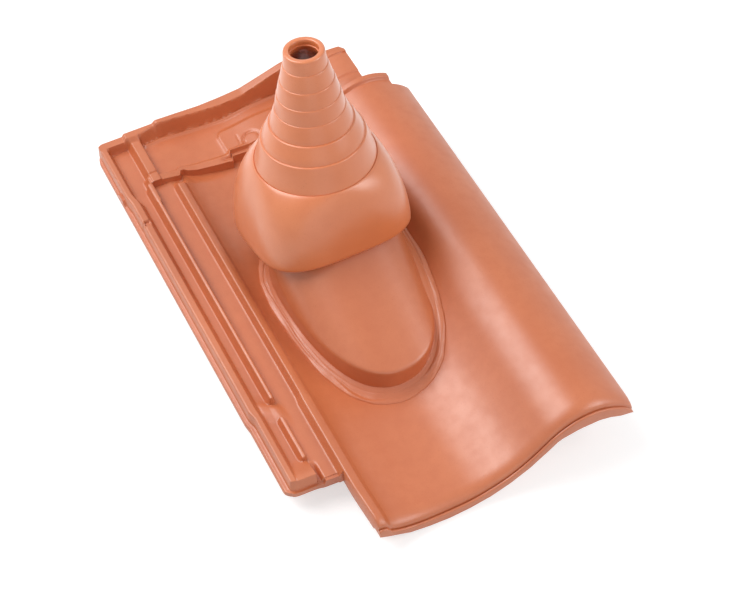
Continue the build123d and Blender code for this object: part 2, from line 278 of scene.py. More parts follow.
@dataclass(frozen=True)
class EngobedClay:
    """Fired terracotta under a sprayed satin engobe: dull sheen, faint cloudy tone, fine grit."""

    name: str = "engobed_terracotta"
    tone: str = "#C26B42"
    light_tone: str = "#C97248"
    deep_tone: str = "#BB6239"
    roughness: float = 0.38
    smoother: float = 0.03
    rougher: float = 0.04
    ior: float = 1.5
    specular: float = 0.8
    coat: float = 0.0
    coat_roughness: float = 0.25
    cloud_mm: float = 55.0
    blotch_mm: float = 9.0
    grit_mm: float = 0.9
    grit_depth_mm: float = 0.05
    ripple_mm: float = 28.0
    ripple_depth_mm: float = 0.14
    cloud_span: tuple[float, float] = (0.35, 0.65)
    blotch_span: tuple[float, float] = (0.4, 1.2)
    speck_span: tuple[float, float] = (0.62, 0.78)
    rough_span: tuple[float, float] = (0.3, 0.7)

    def make(self) -> Material:
        """Builds the material with its clouding, grit and faint press ripples.

        Returns:
            The new material.
        """
        material = bpy.data.materials.new(self.name)
        material.use_nodes = True
        tree = material.node_tree
        place = add_node(tree, "ShaderNodeTexCoord").outputs["Object"]
        cloud = self.noise(tree, place, self.cloud_mm, 3.0)
        blotch = self.noise(tree, place, self.blotch_mm, 4.0)
        grit = self.noise(tree, place, self.grit_mm, 2.0)
        ripple = self.noise(tree, place, self.ripple_mm, 1.0)
        tone = linear(self.tone)
        for pattern, span, other in (
            (cloud, self.cloud_span, self.light_tone),
            (blotch, self.blotch_span, self.deep_tone),
            (grit, self.speck_span, self.deep_tone),
        ):
            tone = blend(tree, self.ramp(tree, pattern, span, (0.0, 1.0)), tone, linear(other))
        sheen = (self.roughness - self.smoother, self.roughness + self.rougher)
        wave = self.relief(tree, ripple, self.ripple_depth_mm, {})
        inputs = {
            "Base Color": tone,
            "Roughness": self.ramp(tree, blotch, self.rough_span, sheen),
            "Normal": self.relief(tree, grit, self.grit_depth_mm, {"Normal": wave}),
            "IOR": self.ior,
            "Specular IOR Level": self.specular,
            "Coat Weight": self.coat,
            "Coat Roughness": self.coat_roughness,
        }
        feed(tree, tree.nodes["Principled BSDF"], inputs)
        return material

    def noise(
        self, tree: NodeTree, place: NodeSocket, size_mm: float, detail: float
    ) -> NodeSocket:
        """A cloudy pattern whose blotches are about size_mm across."""
        inputs = {"Vector": place, "Scale": 1.0 / (size_mm * MILLIMETRE), "Detail": detail}
        return add_node(tree, "ShaderNodeTexNoise", inputs).outputs["Fac"]

    def ramp(
        self,
        tree: NodeTree,
        value: NodeSocket,
        span: tuple[float, float],
        target: tuple[float, float],
    ) -> NodeSocket:
        """Spreads the values of a span over a target span.

        Args:
            tree: Node tree of the material.
            value: Pattern to spread.
            span: Lowest and highest value that count.
            target: What they become.

        Returns:
            The spread pattern.
        """
        inputs = {
            "Value": value, "From Min": span[0], "From Max": span[1],
            "To Min": target[0], "To Max": target[1],
        }
        return add_node(tree, "ShaderNodeMapRange", inputs).outputs["Result"]

    def relief(
        self, tree: NodeTree, height: NodeSocket, depth_mm: float, below: dict
    ) -> NodeSocket:
        """Normal of a fine relief that lies on the one given as below."""
        inputs = {"Height": height, "Distance": depth_mm * MILLIMETRE, "Strength": 1.0, **below}
        return add_node(tree, "ShaderNodeBump", inputs).outputs["Normal"]


@dataclass(frozen=True)
class MouldedVinyl(EngobedClay):
    """Flexible vinyl, injection moulded and self-coloured: smoother and glossier than clay."""

    name: str = "moulded_flexible_vinyl"
    tone: str = "#D57643"
    light_tone: str = "#DA7D4B"
    deep_tone: str = "#CF703E"
    roughness: float = 0.4
    ior: float = 1.53
    specular: float = 0.5
    coat: float = 0.9
    coat_roughness: float = 0.3
    cloud_mm: float = 70.0
    blotch_mm: float = 14.0
    grit_mm: float = 1.4
    grit_depth_mm: float = 0.02
    ripple_mm: float = 24.0
    ripple_depth_mm: float = 0.12


# ---- clay tile


@dataclass
class WaterCourse:
    """Top line of the edge strip, the pan and the roll, which several pieces follow."""

    stations: Numbers = (
        57, 61, 66, 76, 86, 96, 110, 122, 135, 147, 157, 167, 176, 185, 193,
        200, 207, 215, 224, 232, 240, 250, 260, 268, 274,
    )
    heights: Numbers = (
        28.3, 25.4, 22.5, 19, 17, 16, 15.5, 15.6, 16.7, 19.5, 23, 27.7, 33.6, 41, 48.4,
        55, 60.2, 64.4, 67.2, 68, 67.2, 64, 58.6, 52.4, 46,
    )
    thickness: float = 13.0

    def __post_init__(self) -> None:
        """Prepares the curve."""
        self.curve = smooth_curve(list(self.stations), list(self.heights))

    def top(self, x: Array) -> Array:
        """Height of the water course across the tile."""
        return self.curve(x)

    def under(self, x: Array) -> Array:
        """Height of the underside, one clay thickness below the top."""
        slope = self.curve(x + 0.5) - self.curve(x - 0.5)
        return self.curve(x) - self.thickness * np.sqrt(1 + np.minimum(slope**2, 0.9))


@dataclass
class PressedTile:
    """The pressed clay body: side lock, pan, roll, foot, head platform and underside.

    Its grid runs in u across and in v along the tile. slide_x and slide_y move the corners to
    their true place, so that slanted and bowed edges lie on grid lines.
    """

    course: WaterCourse
    lock_x: float = 57.0
    lock_end: float = 66.0
    lock_corner: float = 9.0
    head_corner: float = 10.0
    wall_y: float = 396.0
    hole: tuple[float, float, float, float] = (132.0, 232.0, 53.0, 112.0)
    hole_back: float = 66.0
    hole_squareness: float = 2.3
    under_lock: float = 15.0
    under_platform: float = 11.5
    under_roll_edge: float = 37.5
    saddle_x: Numbers = (12.5, 16, 25, 35)
    saddle_y: Numbers = (125, 139, 142, 153)
    saddle_slant: float = 0.75
    saddle_height: float = 2.3
    rib_x: float = 26.0
    rib_nose: float = 1.5
    short_rib_share: float = 0.62
    block_height: float = 32.2
    block_fall: float = 8.0
    slot_floor: float = 20.2
    ledge_levels: tuple[float, float] = (19.8, 24.2)
    collar_height: float = 3.4
    nail_place: tuple[float, float] = (129.5, 408.0)
    ring_radius: float = 7.6
    pad_left: float = 111.0
    pad_end: float = 424.0
    pad_corner: float = 6.8
    nose_start: float = 14.0
    nose_length: float = 11.2
    nose_drop: float = 5.4
    lip_length: float = 2.8
    lip_drop: float = 6.6
    foot_edge: float = 1.2
    jog_lines: Numbers = (0, 3.7, 5.2, 9.9, 15.6, 21.3, 28.5, 36, 45.5, 48.5, 57)
    foot_jogs: Numbers = (1.1, 2.1, 1.4, 0.6, 0.4, 0, 0, -0.6, -1.2, -0.4, 0.6)
    head_jogs: Numbers = (0, -1.4, -1.4, -2.4, -3.6, 0, 0, 0, 0, 0, 0)
    floor_lines: Pairs = (
        (0, 17.9), (0.3, 18.9), (0.8, 19.6), (3.4, 19.9), (3.75, 20.6), (4.0, 31.6), (4.4, 32.6),
        (5.1, 33), (9.9, 33), (10.5, 32.7), (11.1, 31.8), (14.2, 25), (14.8, 24.3), (15.6, 24),
        (22, 24), (29, 25), (44.9, 25), (45.5, 25.3), (46, 26.2), (48.0, 32.0), (48.5, 32.8),
        (49.2, 33.0), (52, 32.5), (54.6, 31.2), (57, 28.3),
    )
    rib_lines: Pairs = (
        (21.3, 0), (21.9, 0.4), (22.4, 1.4), (24.7, 6.9), (25.1, 7.7), (25.8, 8.0), (27.2, 8.0),
        (27.8, 7.7), (28.1, 6.9), (28.5, 1.2), (28.9, 0.3), (29.4, 0),
    )
    head_rib_lines: Pairs = (
        (26.7, 0), (27.2, 0.6), (30.1, 7.2), (30.6, 7.8), (31.2, 8.0), (37.6, 8.0), (38.2, 7.7),
        (38.6, 6.9), (38.8, 0.4), (39.0, -0.9), (39.5, -0.9), (39.9, -0.2), (40.3, 0),
    )

    def columns(self) -> Array:
        """Grid lines across the tile, tight at each corner of the lock.

        Returns:
            Positions in rising order.
        """
        corners = [x for x, _ in self.floor_lines + self.rib_lines + self.head_rib_lines]
        fill = spans((0, 46, 1.2), (46, 60, 1.0))
        lock = np.array(sorted(set(corners) | set(fill.tolist())))
        lock = lock[np.concatenate([[True], np.diff(lock) > 0.14])]
        lock = lock[lock < 60]
        rest = spans(
            (60, 72, 1.5), (72, 104, 2.4), (104, 127, 1.0), (127, 147, 1.6), (147, 162, 2.4),
            (162, 174, 1.4), (174, 236, 2.6), (236, 243, 0.8), (243, 254, 2.4), (254, 258, 0.8),
            (258, 271, 2.0), (271, 273.2, 0.7), (273.2, 274, 0.27),
        )
        return np.concatenate([lock, rest])

    def rows(self) -> Array:
        """Grid lines along the tile, tight at the foot, the saddle and the head.

        Returns:
            Positions in rising order.
        """
        return spans(
            (0, 3.3, 0.3), (3.3, 15, 0.8), (15, 59, 4.4), (59, 63, 1.0), (63, 69, 0.4),
            (69, 82, 1.6), (82, 90, 0.7), (90, 122, 4.0), (122, 150, 0.8), (150, 350, 5.0),
            (350, 361, 0.8), (361, 375, 2.0), (375, 407, 0.7), (407, 425, 0.9), (425, 440, 1.5),
            (440, 454, 0.8), (454, 457, 0.3),
        )

    def slide_x(self, u: Array, v: Array) -> Array:
        """Sideways shift of the lock's lines: jogs near saddle and head, flare at the foot.

        Args:
            u: Grid line across.
            v: Grid line along.

        Returns:
            Shift towards the roll.
        """
        foot = np.interp(u, self.jog_lines, self.foot_jogs)
        head = np.interp(u, self.jog_lines, self.head_jogs)
        wide = np.interp(u, [21.3, 24, 26, 27, 28, 29.4, 34], [0, -0.3, -0.6, 1.0, 1.0, 0.8, 0])
        flare = np.interp(u, [45.5, 48.5, 57], [0.4, 2.4, 1.5])
        dent = np.interp(u, [3.4, 3.8, 5.2, 6], [0, 0.7, 0.7, 0])
        near_lock = 1 - ease(62, 120, u)
        return (
            near_lock * (foot * (1 - ease(132, 142, v)) + flare * (1 - ease(0, 50, v)))
            + head * ease(378, 393, v)
            + wide * plateau(372.5, 375.5, 394, 396, v)
            + dent * (ease(354, 355, v) - ease(357, 358, v))
        )

    def slide_y(self, u: Array, v: Array) -> Array:
        """Lengthwise shift: the slanted lock end and the bowed foot wall of the platform.

        Args:
            u: Grid line across.
            v: Grid line along.

        Returns:
            Shift towards the head.
        """
        wall = np.interp(
            u,
            [24, 55, 56.5, 58, 61.5, 63, 64, 74, 92, 105.5, 106.5, 126],
            [396.2, 396.2, 397, 401.5, 402, 401, 399.8, 397.4, 394.6, 393, 398, 397],
        )
        bow = (wall - self.wall_y) * bell(self.wall_y, 11.0, v) * plateau(20, 25, 128, 150, u)
        lines = [0, 4, 12, 26, 33, 45, 46.5]
        end = np.interp(u, lines, [68.5, 67.2, 66.2, 65.6, 63.9, 63.2, 61.8])
        end = end + 7.0 * round_over(self.lock_corner, self.lock_corner, u)
        skew = (end - self.lock_end) * bell(self.lock_end, 8.0, v) * (1 - ease(52, 75, u))
        return bow + skew + (self.head_end(u) - TILE_LENGTH) * np.clip((v - 440) / 17, 0, 1)

    def head_end(self, u: Array) -> Array:
        """Where the head ends: rounded lock corner, set-back end of the roll."""
        end = TILE_LENGTH - self.head_corner * round_over(self.head_corner, self.head_corner, u)
        return end - np.interp(u, [205, 221, 236, 239.9, 274], [0, 8.5, 9.0, 13.4, 13.4])

    def lock_height(self, u: Array, v: Array) -> Array:
        """Height of the side lock below the head.

        Args:
            u: Grid line across.
            v: Grid line along.

        Returns:
            Height at each corner.
        """
        base = np.interp(u, *zip(*self.floor_lines))
        fade = 1 - ease(383, 393, v + 0.6 * np.clip(48.5 - u, 0, 4))
        edge_rib = np.interp(u, [44.9, 48.5, 57, 63, 70], [25, 24.0, 21.5, 19.5, 18])
        rising = np.where(u > 44.9, edge_rib + (base - edge_rib) * fade, base)
        notch = np.interp(u, [4.6, 6, 10, 11], [0, 2.2, 2.2, 0])
        notch = notch * (ease(352.5, 354, v) - ease(357, 358.5, v))
        z = rising + np.maximum(self.ribs(u, v), self.saddle(u, v)) - notch
        block = self.block_height - self.block_fall * ease(68, 90, v)
        z = np.where((u > 11) & (u < 27.5), np.maximum(z, block), z)
        slot = plateau(27.6, 28.1, 32.2, 33.0, u) * (1 - ease(74, 82, v))
        z = z + (self.slot_floor - z) * slot
        ledge = ease(self.lock_end - 0.25, self.lock_end + 0.25, v)
        low = np.where(u < 33, *self.ledge_levels)
        return np.where(u < 46, np.minimum(z, low + (z - low) * ledge), z)

    def ribs(self, u: Array, v: Array) -> Array:
        """Height of the long and the short rib over the lock's floor, with rounded ends.

        Args:
            u: Grid line across.
            v: Grid line along.

        Returns:
            Height over the floor.
        """
        rib = np.interp(u, *zip(*self.rib_lines))
        nose = self.rib_nose * ((u - self.rib_x) / 3.0) ** 2
        long_rib = ease(143.4, 145.2, v - nose)
        short_rib = ease(83.5, 85.3, v - nose) * (1 - ease(127.5, 129.5, v + nose))
        return np.maximum(rib * long_rib, self.short_rib_share * rib * short_rib)

    def saddle(self, u: Array, v: Array) -> Array:
        """Height of the low slanted ridge between the two ribs."""
        along = v + self.saddle_slant * (u - 20)
        return self.saddle_height * plateau(*self.saddle_y, along) * plateau(*self.saddle_x, u)

    def body_height(self, u: Array, x: Array, v: Array) -> Array:
        """Height of lock, pan and roll before the foot and the head are formed.

        Args:
            u: Grid line across.
            x: True place across the tile.
            v: Grid line along.

        Returns:
            Height at each corner.
        """
        low_edge = np.interp(u, [57, 63, 74, 92, 110], [21.5, 19.5, 17.2, 15.9, 15.5])
        pan = self.course.top(x)
        pan = np.where(u < 100, low_edge + (pan - low_edge) * (1 - ease(383, 394, v)), pan)
        return np.where(u <= self.lock_x, self.lock_height(u, v), pan)

    def platform_height(self, u: Array, v: Array) -> Array:
        """Height of the head platform, its rib, its nail pad and its end rim.

        Args:
            u: Grid line across.
            v: Grid line along.

        Returns:
            Height at each corner.
        """
        stations = [26, 40, 125, 135, 150, 170, 185, 193, 200, 207, 215, 224, 231, 240]
        levels = [24, 24, 24, 26, 27.4, 28.0, 31.0, 37.0, 43.5, 49, 53, 55.3, 56, 54.8]
        floor = np.where(u < 26, 24.0, smooth_curve(stations, levels)(u))
        z = np.where(u < 22, np.interp(u, *zip(*self.floor_lines)), floor)
        dip = ease(405.8, 406.6, v) - ease(407, 407.8, v)
        z = z + np.interp(u, *zip(*self.head_rib_lines)) * (1 - 0.12 * dip)
        edge = np.interp(u, [24, 28, 36, 45, 55, 63, 72], [24, 31, 31, 29.4, 27.4, 25.4, 24])
        z = z + np.maximum(edge - z, 0) * (1 - ease(403, 407, v))
        z = z + self.pad(u, v)
        steps = np.interp(u, [190, 200, 240], [0, 1.0, 1.3])
        z = z - steps * (1 - ease(414.2, 415.4, v))
        z = z + steps * ease(440.2, 441.4, v) * (u > 185)
        z = z - 0.7 * bell(405, 3.0, v) * plateau(200, 208, 232, 238, u)
        return self.with_rim(z, u, v)

    def with_rim(self, z: Array, u: Array, v: Array) -> Array:
        """Adds the rim at the head's end, and the small swelling at the rim's foot.

        Args:
            z: Height of the platform without the rim.
            u: Grid line across.
            v: Grid line along.

        Returns:
            Height with the rim.
        """
        crown = np.interp(
            u,
            [0, 3.5, 4.0, 25.4, 27.6, 54.5, 57.5, 80, 100, 120, 140, 160, 181, 200, 228, 240],
            [19, 20, 33, 33, 36, 36, 39, 38, 37, 38, 40, 46.5, 53.6, 56.6, 57.3, 56.1],
        )
        start = np.interp(
            u,
            [0, 25, 28, 42, 58, 98, 120, 190, 240],
            [446.4, 446.4, 446, 445, 447.5, 446, 444, 446, 447],
        )
        depth = np.interp(u, [0, 25, 28, 52, 60, 120, 240], [3.0, 3.0, 4.5, 6.5, 5.0, 3.6, 4.0])
        share = np.clip((v - start) / depth, 0, 1)
        rim = 0.5 * share + 0.5 * ease(0, 1, share)
        swelling = 1.3 * bell(-1.0, 1.6, v - start) * (u > 42) * (u < 200)
        return np.maximum(z + np.maximum(crown - z, 0) * rim, z + swelling * (1 - rim))

    def pad(self, u: Array, v: Array) -> Array:
        """Raised nail pad with its ring, and the bar and slot on its foot side.

        Args:
            u: Grid line across.
            v: Grid line along.

        Returns:
            Height over the platform.
        """
        reach_x = np.maximum(self.pad_left - u, 0)
        reach_y = np.maximum(v - self.pad_end, 0)
        out = np.where(u < self.pad_left, np.hypot(reach_x, reach_y), reach_y)
        inside = ease(-0.7, 0.7, self.pad_corner - out)
        inside = inside * (1 - ease(166, 170, u)) * ease(401.6, 402.8, v)
        nail_x, nail_y = self.nail_place
        ring = bell(self.ring_radius, 1.0, np.hypot(u - nail_x, v - nail_y)) * (v > nail_y - 3)
        line = bell(118.8, 0.7, u - 0.08 * (v - 410)) * plateau(403, 406, 417, 420, v)
        slot = bell(400.4, 1.3, v) * plateau(96.5, 98.5, 122, 126, u)
        second = bell(397.4, 0.7, v + 0.3 * (u - 103)) * plateau(101, 103, 109, 111, u)
        return 2.0 * inside - 1.5 * ring - 0.7 * line - 2.2 * slot - 0.9 * second

    def height(self, u: Array, x: Array, v: Array) -> Array:
        """Height of the whole top side.

        Args:
            u: Grid line across.
            x: True place across the tile.
            v: Grid line along.

        Returns:
            Height at each corner.
        """
        collar = ease(386.2, 388.2, v) * plateau(150, 172, 256, 258, u)
        body = self.body_height(u, x, v) + self.collar_height * collar
        start = np.interp(u, [0, 21, 26, 128, 160], [393, 393, self.wall_y, self.wall_y, 393.2])
        step = np.where(u < 24, ease(390, 396, v), ease(-0.7, 0.7, v - start))
        z = body + (self.platform_height(u, v) - body) * step
        return z - self.foot_drop(v) - self.side_drop(x, v)

    def foot_drop(self, v: Array) -> Array:
        """Rounded nose, thin groove and projecting lip at the foot.

        Args:
            v: Grid line along.

        Returns:
            How far the top lies lower.
        """
        nose = self.nose_drop * round_over(self.nose_start, self.nose_length, v)
        drop = np.where(v > self.lip_length, nose, self.lip_drop)
        groove = ease(1.9, 2.2, v) - ease(2.5, 2.8, v)
        return drop + groove + self.foot_edge * round_over(self.foot_edge, self.foot_edge, v)

    def side_drop(self, x: Array, v: Array) -> Array:
        """Rounded right-hand edge, and rounded edge of the head end."""
        right = 1.6 * round_over(271.5, -2.5, x, 0.98)
        return right + 1.2 * round_over(455.4, -1.6, v, 0.98)

    def present(self, u: Array, v: Array) -> Array:
        """Where there is clay, seen from above.

        Args:
            u: Grid line across.
            v: Grid line along.

        Returns:
            True where a place holds clay.
        """
        foot_gap = (u < 48.0) & (v < self.lock_end - 3.0)
        head_gap = ((u > 240.0) & (v > 393.2)) | ((u > 256.0) & (v > 381.5))
        cx, cy, half_x, front = self.hole
        half_y = np.where(v > cy, self.hole_back, front)
        power = self.hole_squareness
        hole = (np.abs(u - cx) / half_x) ** power + (np.abs(v - cy) / half_y) ** power < 1
        return ~(foot_gap | head_gap | hole)

    def underside(self, x: Array, v: Array) -> Array:
        """Height of the underside.

        Args:
            x: True place across the tile.
            v: Grid line along.

        Returns:
            Height at each corner.
        """
        flat, platform, edge = self.under_lock, self.under_platform, self.under_roll_edge
        body = self.course.under(np.maximum(x, 60))
        body = np.where(x < 76, body + (flat + 1 - body) * (1 - ease(46, 74, x)), body)
        body = np.where(x > 262, body + (edge - body) * ease(262, 270, x), body)
        foot = np.interp(
            x,
            [47, 58, 67, 76, 93, 111, 129, 147, 164, 181, 198, 206, 224, 242, 252, 262, 274],
            [20, 14, 10, 5.5, 2, 0.2, 1.4, 5, 11.8, 22, 36.7, 44.4, 48.2, 48.2, 45.4, 40.5, 37.5],
        )
        z = np.where(x < 46, flat, body)
        z = z + (foot - z) * (1 - ease(9, 11, v)) * (x > 46)
        near_lock = platform + (flat - platform) * (1 - ease(46, 60, x))
        under_roll = np.where(x > 150, self.course.under(x) - 12, platform)
        head = np.where(x < 70, near_lock, np.maximum(under_roll, platform))
        return z + (head - z) * ease(391.5, 394, v)

    def build(self, clay: Material) -> list[Object]:
        """Makes the top skin with its edge walls, and the underside.

        Args:
            clay: Finish of the tile.

        Returns:
            The new pieces.
        """
        top = self.skin("tile_top", self.columns(), self.rows(), Side.OUTSIDE, clay)
        columns = spans((0, 60, 3.0), (60, 240, 4.5), (240, 258, 1.5), (258, 274, 4.0))
        rows = spans(
            (0, 12, 1.0), (12, 60, 6.0), (60, 70, 0.5), (70, 378, 7.0), (378, 396, 1.0),
            (396, 457, 3.0),
        )
        return [top, self.skin("tile_underside", columns, rows, Side.INSIDE, clay)]

    def skin(self, name: str, columns: Array, rows: Array, side: Side, clay: Material) -> Object:
        """Makes one side of the tile as a grid that follows its features.

        Args:
            name: Name of the piece.
            columns: Grid lines across the tile.
            rows: Grid lines along the tile.
            side: Top side with the edge walls, or underside.
            clay: Finish.

        Returns:
            The new piece.
        """
        u, v = np.meshgrid(columns, rows)
        x = u + self.slide_x(u, v)
        y = v + self.slide_y(u, v)
        top = self.height(u, x, v)
        under = self.underside(x, v)
        z = top if side is Side.OUTSIDE else under
        n, m = len(columns), len(rows)
        middle_u = (u[:-1, :-1] + u[1:, 1:]) / 2
        middle_v = (v[:-1, :-1] + v[1:, 1:]) / 2
        keep = self.present(middle_u, middle_v)
        points = [np.stack([x.ravel(), y.ravel(), z.ravel()], axis=1)]
        j, i = np.nonzero(keep)
        quads = np.stack([j * n + i, j * n + i + 1, (j + 1) * n + i + 1, (j + 1) * n + i], axis=1)
        if side is Side.INSIDE:
            quads = quads[:, ::-1]
        faces = quads.tolist()
        if side is Side.OUTSIDE:
            low = np.stack([x.ravel(), y.ravel(), np.minimum(under, top - 0.5).ravel()], axis=1)
            points.append(low)
            faces.extend(self.edge_walls(keep, n, m))
        used = np.unique(np.array([k for face in faces for k in face]))
        renumber = {int(old): new for new, old in enumerate(used)}
        everything = np.concatenate(points)
        faces = [tuple(renumber[k] for k in face) for face in faces]
        return add_piece(name, everything[used], faces, clay)

    def edge_walls(self, keep: Array, n: int, m: int) -> list:
        """Walls from the top skin's outline down to the underside.

        Args:
            keep: Which grid cells hold clay.
            n: Number of columns.
            m: Number of rows.

        Returns:
            Corner numbers of the wall quads, where the lower corners follow the upper ones.
        """
        padded = np.zeros((keep.shape[0] + 2, keep.shape[1] + 2), bool)
        padded[1:-1, 1:-1] = keep
        lower = n * m
        walls = []
        for j, i in zip(*np.nonzero(keep)):
            a, b, c, d = j * n + i, j * n + i + 1, (j + 1) * n + i + 1, (j + 1) * n + i
            around = (
                (padded[j, i + 1], a, b),
                (padded[j + 1, i + 2], b, c),
                (padded[j + 2, i + 1], c, d),
                (padded[j + 1, i], d, a),
            )
            for filled, p, q in around:
                if not filled:
                    walls.append((int(q), int(p), int(p + lower), int(q + lower)))
        return walls


@dataclass
class HangingNibs:
    """Two nibs under the head and two cover ribs under the roll, plain as such tiles have them."""

    course: WaterCourse
    width: float = 34.0
    depth: float = 14.0
    drop: float = 16.0
    start_y: float = 430.0
    lefts: Numbers = (62.0, 150.0)
    rib_middles: Numbers = (246.0, 261.0)
    rib_half: float = 3.0
    rib_reach: tuple[float, float] = (30.0, 379.0)
    rib_drop: float = 4.5
    rib_root: float = 4.0
    corner: float = 2.2
    corner_steps: int = 5

    def blocks(self) -> list[Numbers]:
        """Extent of the nibs and the cover ribs.

        Returns:
            Left, right, foot end, head end, lower and upper side of each block.
        """
        blocks = [
            (left, left + self.width, self.start_y, self.start_y + self.depth, 0.0, self.drop)
            for left in self.lefts
        ]
        for x in self.rib_middles:
            sides = (x - self.rib_half, x + self.rib_half)
            level = float(self.course.under(np.array(x)))
            blocks.append((*sides, *self.rib_reach, level - self.rib_drop, level + self.rib_root))
        return blocks

    def build(self, clay: Material) -> Object:
        """Makes the nibs and the cover ribs as rounded blocks in one piece.

        Args:
            clay: Finish.

        Returns:
            The new piece.
        """
        corner, around = self.corner, 4 * self.corner_steps
        points, faces = [], []
        for x0, x1, y0, y1, z0, z1 in self.blocks():
            rings = [(corner, 0.0), (0.8, 0.6), (0.0, corner), (0.0, z1 - z0)]
            turns = (
                (x1 - corner, y1 - corner), (x0 + corner, y1 - corner),
                (x0 + corner, y0 + corner), (x1 - corner, y0 + corner),
            )
            base = len(points)
            for inset, rise in rings:
                radius = corner - inset
                for turn, (cx, cy) in enumerate(turns):
                    for k in range(self.corner_steps):
                        angle = math.pi / 2 * (turn + k / (self.corner_steps - 1))
                        x, y = cx + radius * math.cos(angle), cy + radius * math.sin(angle)
                        points.append((x, y, z0 + rise))
            faces.append(tuple(base + k for k in range(around - 1, -1, -1)))
            sides = grid_faces(len(rings), around, True, False)
            faces.extend(tuple(base + k for k in face) for face in sides)
        return add_piece("nibs_and_cover_ribs", np.array(points), faces, clay)


@dataclass
class ClayHood:
    """The hood over the passage: a barrel that leans back to the head, with a steep toe."""

    course: WaterCourse
    x: float = 132.0
    y: float = 232.0
    half_width: float = 57.0
    front: float = 116.0
    back: float = 70.0
    squareness: float = 2.3
    crown_half: float = 58.5
    crown_squareness: float = 2.7
    toe_y: float = 119.0
    toe_z: float = 42.5
    lean: float = 65.8
    wall: float = 9.0
    edge_y: float = 266.0
    edge_z: float = 77.8
    edge_lean: float = 17.7
    around: int = 168
    wall_rows: int = 7
    outer_round: float = 2.2
    inner_round: float = 3.0

    def plan(self, angle: Array, grow: float | Array) -> tuple[Array, Array]:
        """Point of the plan outline.

        Args:
            angle: Direction around the hood's middle, from +X towards the head.
            grow: How far outside the hood's own outline, in millimetres.

        Returns:
            X and Y of the point.
        """
        c, s = np.cos(angle), np.sin(angle)
        half_y = np.where(s > 0, self.back, self.front) + grow
        power = 2 / self.squareness
        x = self.x + (self.half_width + grow) * np.sign(c) * np.abs(c) ** power
        y = self.y + half_y * np.sign(s) * np.abs(s) ** power
        return x, y

    def edge_height(self, y: Array) -> Array:
        """Height of the hood's cut upper edge along the tile."""
        return self.edge_z + (self.edge_y - y) * math.tan(math.radians(self.edge_lean))

    def roof(self, x: Array, y: Array, inset: float) -> Array:
        """Height of the leaning barrel and of the hood's cut upper edge.

        Args:
            x: Across the tile.
            y: Along the tile.
            inset: How far inside the clay's outer surface.

        Returns:
            The lower of the two heights.
        """
        lean = math.radians(self.lean)
        half = self.crown_half - inset
        side = np.clip(np.abs(x - self.x) / half, 0, 0.999)
        full = (1 - side**self.crown_squareness) ** (1 / self.crown_squareness)
        sag = half * (1 - full) / math.sin(lean)
        barrel = self.toe_z + (y - self.toe_y) / math.tan(lean) - sag - inset / math.sin(lean)
        return np.minimum(barrel, self.edge_height(y))

    def in_mouth(self, points: Array) -> Array:
        """Finds what lies in the open mouth at the hood's cut edge, over the passage.

        Args:
            points: Places to test, one row each.

        Returns:
            True for each point in the mouth.
        """
        x, y, z = points.T
        edge = self.edge_height(y)
        reach_y = np.where(y > self.y, self.back, self.front) - self.wall
        plan = (np.abs(x - self.x) / (self.half_width - self.wall)) ** self.squareness
        plan = plan + (np.abs(y - self.y) / reach_y) ** self.squareness
        return (self.roof(x, y, self.wall) > edge - 0.6) & (plan < 0.97) & (z > edge - self.wall)

    def skin(self, name: str, inset: float, side: Side, clay: Material) -> Object:
        """Makes the outer skin of the hood, or the passage's inner skin.

        Args:
            name: Name of the piece.
            inset: How far inside the outer surface.
            side: Which way the skin looks.
            clay: Finish.

        Returns:
            The new piece.
        """
        outside = side is Side.OUTSIDE
        angles = np.linspace(0, 2 * math.pi, self.around, endpoint=False)
        rim_x, rim_y = self.plan(angles, -inset)
        base = self.course.top(rim_x) - 3 if outside else self.course.under(rim_x) + 0.2
        rim_top = self.roof(rim_x, rim_y, inset)
        radius = self.outer_round if outside else self.inner_round
        points = []
        for k in range(self.wall_rows):
            z = base + (rim_top - radius - base) * (k / self.wall_rows)
            points.append(np.stack([rim_x, rim_y, np.maximum(z, base)], axis=1))
        near_rim = [1.0, 0.998, 0.992, 0.983, 0.97, 0.95]
        for share in near_rim + list(np.linspace(0.92, 0.0, 42)):
            x = self.x + (rim_x - self.x) * share
            y = self.y + (rim_y - self.y) * share
            depth = np.hypot(rim_x - x, rim_y - y)
            z = self.roof(x, y, inset) - radius * round_over(radius, radius, depth)
            points.append(np.stack([x, y, np.maximum(z, base)], axis=1))
        everything = np.concatenate(points)
        faces = grid_faces(len(points), self.around, True, not outside)
        in_mouth = self.in_mouth(everything[np.array(faces)].mean(axis=1))
        kept = [face for face, is_open in zip(faces, in_mouth) if not is_open]
        return add_piece(name, everything, kept, clay)

    def sill(self, clay: Material) -> Object:
        """Closes the ring between the passage and the hole in the pressed tile, from below.

        Args:
            clay: Finish.

        Returns:
            The new piece.
        """
        angles = np.linspace(0, 2 * math.pi, 96, endpoint=False)
        points = []
        for grow in (-self.wall, -self.wall + 3, -self.wall + 6, 1.0):
            x, y = self.plan(angles, grow)
            points.append(np.stack([x, y, self.course.under(x) + 0.15], axis=1))
        faces = grid_faces(len(points), len(angles), True, True)
        return add_piece("passage_sill", np.concatenate(points), faces, clay)

    def build(self, clay: Material) -> list[Object]:
        """Makes the hood's outer skin, the passage and its sill.

        Args:
            clay: Finish.

        Returns:
            The new pieces.
        """
        return [
            self.skin("clay_hood", 0.0, Side.OUTSIDE, clay),
            self.skin("passage_lining", self.wall, Side.INSIDE, clay),
            self.sill(clay),
        ]


